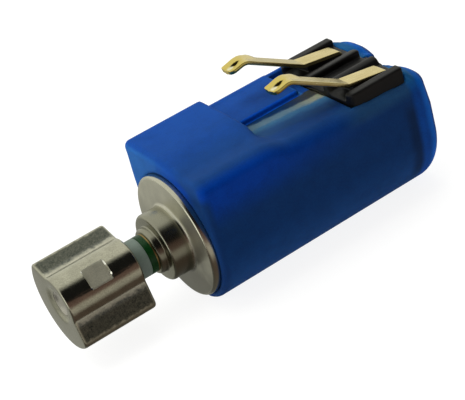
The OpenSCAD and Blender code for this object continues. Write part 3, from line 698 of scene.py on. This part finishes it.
def weightAlloy():
    material, shader, wire, point = startMaterial("weightAlloy", metal["fixed"])
    x, y, z = wire.split(point)
    radial = fromAxis(y, z)
    low, high = float(weightLow[0]), float(weightHigh[0])
    hub, rim, seam = weight["hub"], weight["r"], alloy["seam"]
    stain, fine = wire.noise(point, alloy["stain"]), wire.noise(point, alloy["fine"])
    pits = wire.noise(point, alloy["pits"], 2)

    def off(value, start, key):  # a ramp of the settings that starts from a place
        return value.ramp(start + alloy[key][0], start + alloy[key][1])

    def along(half, outside):  # between two places along x, about the middle
        first, last = weightMiddle - half - outside, weightMiddle + half + outside
        return x.ramp(first, first + seam) * x.ramp(last, last - seam)

    inward = off(x, low, "ends") * x.ramp(high - alloy["ends"][0], high - alloy["ends"][1])
    ragged = radial + pits.spread(alloy["ragged"])
    wings = off(ragged, hub, "wingIn") * off(ragged, rim, "wingOut") * inward
    colour = (stain * 0.5 + fine * 0.5).blotch(alloy["colour"], alloy["dark"])
    grainy = fine * alloy["wingFine"] + pits * alloy["wingPits"] + alloy["wingShare"]
    colour = (wings * grainy).mix(colour, rgba(*alloy["wing"]))
    dull = off(x, low, "frontFace") * (stain * alloy["frontStain"] + alloy["frontShare"])
    colour = dull.mix(colour, rgba(*alloy["front"]))
    half, bevel = weight["stake"]["length"] / 2, weight["stake"]["bevel"]
    away = polar(-1, weight["heavy"]).tolist()
    opposite = y * away[0] + z * away[1]  # distance from the axis away from the heavy side
    stake = along(half, seam) * off(opposite, stakeLevel, "stakeIn") * off(opposite, stakeLevel, "stakeOut")
    cut = along(half, bevel) * off(opposite, stakeLevel, "cutIn") * off(radial, hub, "cutOut")
    colour = (cut * (1 - stake)).mix(colour, rgba(*alloy["cut"]))  # painted highlight along the edges of the staking flat
    crease = off(radial, hub, "crease") * inward
    film = off(radial, hub, "filmFrom") * off(radial, hub, "filmTo") * inward  # dull in the crease
    rough = alloy["roughness"] + stain.spread(alloy["roughSpread"])
    rough = rough + crease * (alloy["wingRoughness"] - alloy["roughness"])
    rough = rough + stake * (alloy["stakeRoughness"] - alloy["roughness"])
    height = fine * alloy["fineHeight"] + pits * alloy["pitHeight"] + stain * alloy["stainHeight"]
    feed(shader, Base_Color=colour, Roughness=rough,
         Metallic=1 - stake * alloy["stakeFilm"] - film * alloy["creaseFilm"],
         Normal=wire.bump(height, alloy["bump"], alloy["bumpDepth"]))
    return material


weightPiece = addMesh("eccentricWeight", *weightMesh(), weightAlloy())
settle(weightPiece, "rotor", "weight_alloy", "counterweight")


# terminal block and spring contacts

contact = dict(
    width=0.6, thick=0.13, edge=0.028, bendR=0.2, dive=7.57, diveLow=2.08, diveR=0.08, pitch=8.5,
    angle=29.5, arm=2.04, tipR=0.4, tailAngle=12, end=3.73, nearCorner=0.2, farCorner=0.08,
    groove=((0, 0.03, 0.1), (0.12, 0.04, 0.1), (0.26, 0.07, 0.09), (0.36, 0.095, 0.07),
            (0.48, 0.045, 0.055), (0.6, 0, 0.03)),  # distance from the end, depth and half width
    grooveMiddle=-0.05, grooveShape=3,
    lift=((3.9, 0), (4.24, 0.008), (4.45, 0.04), (4.62, 0.07), (4.8, 0.03), (4.9, 0)),  # far edge along x
    liftFrom=-0.1, liftOver=0.35,  # across the strip
    counts=dict(bend=8, arm=24, tip=16, tail=18, across=35, edge=4),
    blend=0.3,  # a reach to each side of a strip's root
)
block = dict(
    step=0.032, floor=2.17, valley=(-0.42, 0.2), ridge=0.23, slopeFoot=0.82, outer=1.55,
    edge=0.08, fill=0.03, nose=0.24, corner=0.3, rearEdge=0.07, clear=0.004, footEnd=0.1, rampReach=3,
)


def blockField(x, y, z):
    top, floor, edge, fill = blockHigh[2], block["floor"], block["edge"], block["fill"]
    wide = np.abs(y)
    valley = np.where(y < 0, -block["valley"][0], block["valley"][1])
    crest = valley + block["ridge"]
    rise, run = top - floor, block["slopeFoot"] - crest
    slope = ((wide - crest) * rise + (z - top) * run) / np.hypot(rise, run)
    outer = both(z - top, block["outer"] - wide, edge)
    inner = both(both(z - top, valley - wide, edge), slope, edge)
    solid = either(either(z - floor, outer, fill), inner, fill)
    under = np.clip(contact["dive"] - x, 0, block["rampReach"]) * math.tan(math.radians(contact["pitch"]))
    ramp = both(z - floor - under + block["clear"], np.abs(wide - contactY) - contact["width"] / 2)
    solid = either(solid, both(ramp, bendX + block["footEnd"] - x))  # it carries the strip's foot
    solid = both(solid, x - blockHigh[0], block["rearEdge"])
    plan = both(wide - blockHigh[1], blockLow[0] - x, block["corner"])
    solid = both(both(solid, plan, edge), blockLow[0] - x, block["nose"])
    return both(both(solid, blockLow[2] - z), caseR - np.hypot(y, z))


blackPlastic = plainPlastic("blackPlastic", (10, 10, 11), 0.45, 0.38)
blockSkin = skin(blockField, blockLow, blockHigh, block["step"])
blockPiece = addMesh("terminalBlock", *blockSkin, blackPlastic, False)
settle(blockPiece, "stator", "block_plastic", "terminal_block")


def contactPath(bend):  # middle of the strip in x and z, its upward side and the length left to its end
    counts, dive, r = contact["counts"], contact["dive"], contact["tipR"]
    start = np.array(bend) + polar(contact["arm"], 180 - contact["angle"])
    foot = [(dive, contact["diveLow"], 0), (dive, block["floor"] + contact["thick"] / 2, contact["diveR"])]
    path = eased([*foot, (*bend, contact["bendR"]), (*start, 0)], closed=False, count=counts["bend"])
    straight = np.linspace(path[-2], path[-1], counts["arm"])[1:-1]
    first = 90 - contact["angle"]
    tip = arc(start - polar(r, first), r, first, 90 + contact["tailAngle"], counts["tip"])
    fall = np.array((1, math.tan(math.radians(contact["tailAngle"])))) * (tip[-1, 0] - contact["end"])
    tail = tip[-1] - np.outer(np.linspace(0, 1, counts["tail"] + 1)[1:], fall)
    path = np.concatenate((path[:-1], straight, tip, tail))
    ahead = np.gradient(path, axis=0)
    ahead /= np.linalg.norm(ahead, axis=1)[:, None]
    run = np.concatenate(([0], np.cumsum(np.linalg.norm(np.diff(path, axis=0), axis=1))))
    return path, np.column_stack((ahead[:, 1], -ahead[:, 0])), run[-1] - run


def contactSection():  # round the strip, as places across it and up from its middle
    half, thick, edge = contact["width"] / 2, contact["thick"] / 2, contact["edge"]
    across = np.linspace(edge - half, half - edge, contact["counts"]["across"])
    top = np.column_stack((across, np.full(len(across), thick)))
    right = arc((half - edge, thick - edge), edge, 90, 0, contact["counts"]["edge"])[1:]
    right = np.concatenate((right, (right * (1, -1))[::-1]))
    return np.concatenate((top, right, (top * (1, -1))[::-1], (right * (-1, 1))[::-1]))


def contactMesh(joint):
    place = (np.array(joint["pos_m"]) - axisPoint) / mm
    section = contactSection()
    width, half = contact["width"], contact["width"] / 2
    along, deep, wide = zip(*contact["groove"])
    rings = []

    def inset(rest, r):  # how far a rounded corner draws in
        return r - math.sqrt(r * r - max(r - rest, 0) ** 2)

    for (x, z), (upX, upZ), rest in zip(*contactPath((place[0], place[2]))):
        across, height = section.T
        aside = np.abs((across - contact["grooveMiddle"]) / np.interp(rest, along, wide))
        press = np.interp(rest, along, deep) * np.exp(-aside ** contact["grooveShape"])
        part = share(across, contact["liftFrom"], contact["liftOver"])
        raised = np.interp(x, *zip(*contact["lift"])) * part * part * (3 - 2 * part)
        height = height - press + raised
        nearIn, farIn = inset(rest, contact["nearCorner"]), inset(rest, contact["farCorner"])
        across = across + nearIn * (half - across) / width - farIn * (across + half) / width
        rings.append(np.column_stack((x + upX * height, place[1] + across, z + upZ * height)))
    points, faces = loft(rings)
    around = np.arange(len(section))
    return points, [*faces, around[::-1], (len(rings) - 1) * len(section) + around]


gold = dict(
    colour=(238, 222, 164), tip=(232, 210, 116), glint=(255, 249, 210), dark=(0.86, 0.82, 0.7),
    head=(("x", 4.7, 4.1),),
    mouth=(("x", 4.04, 3.95), ("x", 3.75, 3.81), ("across", -0.19, -0.11), ("across", 0.08, 0.0)),
    stain=2.6, fine=16, streak=5.0, streakStretch=(0.25, 4, 1),
    roughness=0.24, streakSpread=0.12, fineSpread=0.08, headShine=0.08, bump=0.1, bumpDepth=0.004,
)


def contactGold():
    material, shader, wire, point = startMaterial("contactGold", {"Metallic": 1.0, "IOR": 1.5})
    axes = dict(zip("xyz", wire.split(point)))
    y = axes["y"]
    axes["across"] = y - y.math("SIGN", y) * contactY
    stain, fine = wire.noise(point, gold["stain"]), wire.noise(point, gold["fine"])
    streak = wire.noise(point, gold["streak"], 3, gold["streakStretch"])
    head, mouth = zone(axes, gold["head"]), zone(axes, gold["mouth"])
    colour = (stain * 0.5 + streak * 0.5).blotch(gold["colour"], gold["dark"])
    colour = head.mix(colour, rgba(*gold["tip"]))
    colour = mouth.mix(colour, rgba(*gold["glint"]))  # painted highlight at the groove's mouth
    rough = gold["roughness"] + streak.spread(gold["streakSpread"]) + fine.spread(gold["fineSpread"])
    feed(shader, Base_Color=colour, Roughness=rough - head * gold["headShine"],
         Normal=wire.bump(fine * 0.5 + streak * 0.5, gold["bump"], gold["bumpDepth"]))
    return material


goldPlate = contactGold()
for side in ("near", "far"):
    joint = joints[side + "_contact_press"]
    strip = addMesh(side + "Contact", *contactMesh(joint), goldPlate)
    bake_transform(strip)
    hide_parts(side + "_contact_foot", side + "_contact_arm")
    print("made", strip.name)


# inner pieces keep their own solids

innerLooks = {
    "rear_bearing": bronze,
    "magnet": satinSteel("magnetNickel", (150, 150, 152), roughness=0.32, brush=0.06, marks=0.2),
    "end_cap": blackPlastic,
    "thrust_plate": shaftSteel,
    "near_brush": goldPlate, "far_brush": goldPlate, "commutator_segments": goldPlate,
    "rear_washer": greyPlastic,
    "winding": satinSteel("windingCopper", (206, 128, 84), roughness=0.28, brush=0.3, marks=0.6),
    "winding_hub": plainPlastic("olivePlastic", (92, 98, 66), 0.45),
}
for node, material in innerLooks.items():
    mesh = frame["nodes"][node].data
    mesh.materials.clear()
    mesh.materials.append(material)
print("inner pieces finished")


# floor and light

studio = dict(
    floor=(120, 120, 119), glow=0.88, floorSize=0.6, floorRoughness=0.9, floorGloss=0.1,
    around=(  # the room about the motor's axis, in turns from the far floor past the floor, camera and top
        (0.0, (0.62, 0.62, 0.56)), (0.035, (0.58, 0.58, 0.52)), (0.065, (0.4, 0.4, 0.36)),
        (0.13, (0.4, 0.4, 0.36)), (0.17, (0.12, 0.12, 0.11)), (0.35, (0.1, 0.075, 0.06)),
        (0.395, (0.1, 0.075, 0.06)), (0.435, (0.4, 0.38, 0.34)), (0.475, (0.44, 0.41, 0.36)),
        (0.505, (0.17, 0.11, 0.095)), (0.555, (0.13, 0.085, 0.072)), (0.572, (0.012, 0.012, 0.012)),
        (0.695, (0.012, 0.012, 0.012)), (0.722, (0.36, 0.36, 0.33)), (0.745, (0.75, 0.75, 0.69)),
        (1.0, (0.8, 0.8, 0.74))),
    left=(1.5, 1.5, 1.42), leftRange=(0.93, 0.985),  # a soft box on the weight's side
    aim=(-0.001, 0, 0.002),
)
lamps = dict(
    overhead=dict(place=(-0.02, 0.03, 0.12), size=0.12, power=0.13, colour=(1, 1, 0.98)),
    left=dict(place=(-0.1, -0.02, 0.06), size=0.08, power=0.055, colour=(1, 1, 1)),
)


def addFloor():
    half = studio["floorSize"] / 2
    mesh = bpy.data.meshes.new("floor")
    corners = [(-half, -half, 0), (half, -half, 0), (half, half, 0), (-half, half, 0)]
    mesh.from_pydata(corners, [], [(0, 1, 2, 3)])
    material = bpy.data.materials.new("paleFloor")
    material.use_nodes = True
    shader = material.node_tree.nodes["Principled BSDF"]
    for socket, value in {
            "Base Color": rgba(*studio["floor"]), "Roughness": studio["floorRoughness"],
            "Specular IOR Level": studio["floorGloss"], "Emission Color": (1, 1, 1, 1),
            "Emission Strength": studio["glow"]}.items():
        shader.inputs[socket].default_value = value
    mesh.materials.append(material)
    floor = bpy.data.objects.new("floor", mesh)
    scene.collection.objects.link(floor)
    floor.visible_glossy = False


def addSky():
    world = bpy.data.worlds.new("studio")
    scene.world = world
    world.use_nodes = True
    tree = world.node_tree
    wire = Wire(tree)
    x, y, z = wire.split(wire.node("ShaderNodeTexCoord", {}, {}, "Generated"))
    turn = wire.math("ARCTAN2", z, y * -1) * (0.5 / math.pi) + 0.5
    colour = wire.node("ShaderNodeValToRGB", {"stops": studio["around"]}, {0: turn})
    colour = (x * -1).ramp(*studio["leftRange"]).mix(colour, (*studio["left"], 1))
    tree.links.new(colour.socket, tree.nodes["Background"].inputs[0])


def addLamps():
    for name, lamp in lamps.items():
        data = bpy.data.lights.new(name, "AREA")
        data.energy, data.size, data.color = lamp["power"], lamp["size"], lamp["colour"]
        light = bpy.data.objects.new(name, data)
        light.location = lamp["place"]
        light.rotation_euler = (Vector(studio["aim"]) - light.location).to_track_quat("-Z", "Y").to_euler()
        scene.collection.objects.link(light)
        light.visible_glossy = False


addFloor()
addSky()
addLamps()
scene.view_settings.view_transform = "Standard"
print("floor and light set")
